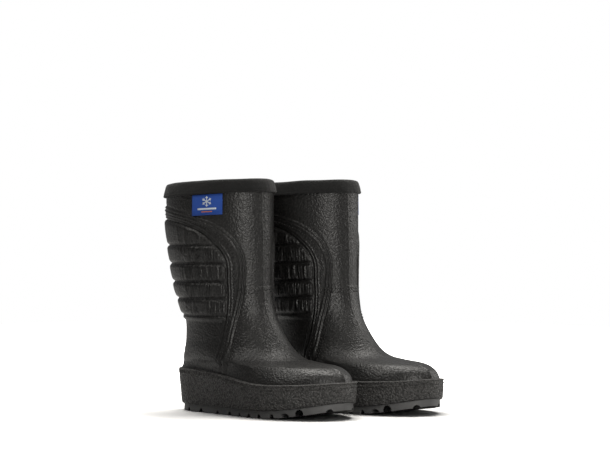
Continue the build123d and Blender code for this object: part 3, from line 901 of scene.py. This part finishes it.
def slab(corners, low, high, steps):
    """A thin patch on the label between two lifts, with four corners (across, drop), cut into steps."""
    a, b, c, d = (np.array(corner, float) for corner in corners)
    points, faces = [], []
    for i in range(steps + 1):
        share = i / steps
        start, end = a + (b - a) * share, d + (c - d) * share
        for across in (0, 1 / 3, 2 / 3, 1):
            u, v = start + (end - start) * across
            points.append(label_point(u, v, high))
        for across in (1, 2 / 3, 1 / 3, 0):
            u, v = start + (end - start) * across
            points.append(label_point(u, v, low))
    for i in range(steps):
        for j in range(8):
            k = (j + 1) % 8
            faces.append((8 * i + j, 8 * i + k, 8 * i + 8 + k, 8 * i + 8 + j))
    last = 8 * steps
    faces += [(0, 7, 6, 1), (1, 6, 5, 2), (2, 5, 4, 3)]
    faces += [(last, last + 1, last + 6, last + 7), (last + 1, last + 2, last + 5, last + 6)]
    faces.append((last + 2, last + 3, last + 4, last + 5))
    return points, faces


def strip(start, end, width, lift):
    """A narrow raised patch on the label from start to end."""
    start, end = np.array(start, float), np.array(end, float)
    along = (end - start) / np.linalg.norm(end - start)
    side = np.array((-along[1], along[0])) * width / 2
    steps = max(2, int(np.linalg.norm(end - start)))
    return slab((start + side, end + side, end - side, start - side), LABEL_THICKNESS - 0.1, lift, steps)


def joined(parts):
    """Several (points, faces) as one."""
    points, faces = [], []
    for part_points, part_faces in parts:
        first = len(points)
        points += [tuple(point) for point in part_points]
        faces += [tuple(first + i for i in face) for face in part_faces]
    return points, faces


def snowflake(centre, radius):
    """Six arms with a pair of twigs on each."""
    parts = []
    for n in range(6):
        arm = pi * n / 3 + pi / 6
        way = np.array((cos(arm), sin(arm)))
        parts.append(strip(centre, centre + way * radius, 0.75, 0.95))
        for turn in (-1, 1):
            angle = arm + turn * pi / 4
            root = centre + way * radius * 0.55
            parts.append(strip(root, root + np.array((cos(angle), sin(angle))) * radius * 0.36, 0.6, 0.9))
    return joined(parts)


# ================ both boots

upper = Upper()
upper_threads = upper_stitches(upper)
wall_rings, lip_line = sole_rings()
wall_threads = lip_stitches(*lip_line)
half = LABEL_WIDTH / 2
label_corners = ((-half, 0), (half, 0), (half, LABEL_HEIGHT), (-half, LABEL_HEIGHT))
# The material and the mesh of each piece.
BOOT = {
    "upper_shell": ("moulded_upper", joined([upper.mesh(), (upper_threads.points, upper_threads.faces)])),
    "sole_wall": ("sole_foam", joined([capped(wall_rings), (wall_threads.points, wall_threads.faces)])),
    "lining": ("knit_lining", capped(lining_rings())),
    "insole": ("felt", capped(insole_rings())),
    "cuff": ("cuff_textile", looped(cuff_rings())),
    "label": ("woven_label", slab(label_corners, 0.0, LABEL_THICKNESS, 40)),
}
LABEL_MARKS = {
    "emblem": ("label_white", snowflake(np.array((0.0, 6.6)), 5.0)),
    "white_bar": ("label_white", strip((-9.5, 13.6), (9.5, 13.6), 1.7, 0.85)),
    "orange_bar": ("label_orange", strip((-5.5, 16.3), (5.5, 16.3), 0.8, 0.85)),
}
CAD_SHOWN = {"outsole": "tread_rubber", "insole_board": "fibre_board"}  # pieces that keep their CAD shape
BODIES = {"insole": "insole", "label": "label"}  # the rest ride on the boot itself

for side in SIDES:
    for name, (slot_name, (points, faces)) in BOOT.items():
        body_name = f"{side}_{BODIES.get(name, 'boot')}"
        piece(f"{side}_{name}_look", points, faces, side, MATERIALS[slot_name], body_name,
                            [f"{side}_{name}"])
    for name, (colour, (points, faces)) in LABEL_MARKS.items():
        piece(f"{side}_label_{name}", points, faces, side, MATERIALS[colour], f"{side}_label")
    for name, slot_name in CAD_SHOWN.items():
        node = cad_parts[f"{side}_{name}"]
        node.data.materials.clear()
        node.data.materials.append(MATERIALS[slot_name])

# ================ floor, light and camera

scene = bpy.context.scene
scene.view_settings.view_transform = "Standard"

# A white floor. The camera sees it brighter than the boots do, and it glows from this far out (in metres), so
# that it runs into the white background while the contact shadow stays dark.
FLOOR_HALF_SIZE = 1.7
FLOOR_GREY, FLOOR_GREY_SEEN = 0.85, 2.1
GLOW_START, GLOW_FULL = 0.15, 0.32
corners = ((-1, -1), (1, -1), (1, 1), (-1, 1))
floor_corners = [(FLOOR_HALF_SIZE * x, FLOOR_HALF_SIZE * y, 0) for x, y in corners]
floor_mesh = bpy.data.meshes.new("floor")
floor_mesh.from_pydata(floor_corners, [], [(0, 1, 2, 3)])
floor = bpy.data.objects.new("floor", floor_mesh)
scene.collection.objects.link(floor)
floor_material, floor_tree, floor_shader = nodes_of("white_floor")
by_camera = add_node(floor_tree, "ShaderNodeLightPath").outputs["Is Camera Ray"]
tint(floor_tree, floor_shader, by_camera, grey(FLOOR_GREY), grey(FLOOR_GREY_SEEN))
floor_place = add_node(floor_tree, "ShaderNodeTexCoord").outputs["Object"]
away = add_node(floor_tree, "ShaderNodeVectorMath", {0: floor_place}, operation="LENGTH").outputs["Value"]
outer_glow = ramp(floor_tree, away, GLOW_START, GLOW_FULL, 0, 1)
floor_glow = add_node(floor_tree, "ShaderNodeMath", {0: outer_glow, 1: by_camera}, operation="MULTIPLY")
floor_tree.links.new(floor_glow.outputs[0], floor_shader.inputs["Emission Strength"])
floor_shader.inputs["Emission Color"].default_value = (1, 1, 1, 1)
floor_shader.inputs["Roughness"].default_value = 0.9
floor_shader.inputs["Specular IOR Level"].default_value = 0.1
floor.data.materials.append(floor_material)

CAMERA_TURN = radians(46)  # the camera looks this far round from straight at the boots' front
CAMERA_DIP, CAMERA_ROLL = radians(0.137), radians(0.15)
CAMERA_PLACE = (-1.7228, -1.6665, 0.184)
SENSOR_WIDTH, LENS = 36.0, 147.66

# A dim studio round the boots, darker on the camera's side. The camera itself sees it white.
BEHIND_GLOW, BEFORE_GLOW = 0.22, 0.04
world = bpy.data.worlds.new("studio")
scene.world = world
world.use_nodes = True
sky = world.node_tree
direction = add_node(sky, "ShaderNodeTexCoord").outputs["Generated"]
to_camera = (-sin(CAMERA_TURN), -cos(CAMERA_TURN), 0)
facing = add_node(sky, "ShaderNodeVectorMath", {0: direction, 1: to_camera}, operation="DOT_PRODUCT")
glow = ramp(sky, facing.outputs["Value"], -0.7, -0.1, BEHIND_GLOW, BEFORE_GLOW)
seen = add_node(sky, "ShaderNodeLightPath").outputs["Is Camera Ray"]
sky.links.new(mix_values(sky, glow, 1.0, seen), sky.nodes["Background"].inputs["Strength"])
sky.nodes["Background"].inputs["Color"].default_value = (1, 1, 1, 1)

# The panels linked to this skip the floor, which is marked as excluded below, and leave its shadow dark.
not_on_floor = bpy.data.collections.new("not_on_floor")
not_on_floor.objects.link(floor)

WARM_WHITE = (1.0, 0.975, 0.93)


def soft_light(name, turn, out, height, aim, size, power, on_floor=True):
    """A soft panel this far round from the camera, out from the boots and up."""
    data = bpy.data.lights.new(name, "AREA")
    data.shape = "RECTANGLE"
    data.size, data.size_y = size
    data.energy = power
    data.color = WARM_WHITE
    lamp = bpy.data.objects.new(name, data)
    angle = CAMERA_TURN + radians(turn)
    lamp.location = (-out * sin(angle), -out * cos(angle), height)
    towards = Vector(aim) - lamp.location
    lamp.rotation_euler = towards.to_track_quat("-Z", "Y").to_euler()
    if not on_floor:
        lamp.light_linking.receiver_collection = not_on_floor
    scene.collection.objects.link(lamp)


soft_light("overhead", 180, 0.7, 2.2, (0, 0, 0), (1.8, 1.2), 46)
soft_light("key_panel", -30, 1.4, 0.6, (0, 0, 0.12), (0.28, 1.2), 12, on_floor=False)
soft_light("high_left", 62, 1.1, 1.8, (0, 0, 0.05), (0.6, 0.6), 10, on_floor=False)
soft_light("right_panel", -118, 1.3, 0.7, (0, 0, 0.12), (0.5, 1.2), 7, on_floor=False)
not_on_floor.collection_objects[0].light_linking.link_state = "EXCLUDE"

camera_data = bpy.data.cameras.new("camera")
camera_data.sensor_width = SENSOR_WIDTH
camera_data.lens = LENS
camera_data.clip_start, camera_data.clip_end = 0.05, 50
camera = bpy.data.objects.new("camera", camera_data)
camera.location = CAMERA_PLACE
look = Vector((sin(CAMERA_TURN), cos(CAMERA_TURN), -tan(CAMERA_DIP)))
level = look.to_track_quat("-Z", "Y").to_matrix()
camera.rotation_euler = (level @ Matrix.Rotation(CAMERA_ROLL, 3, "Z")).to_euler()
scene.collection.objects.link(camera)
scene.camera = camera
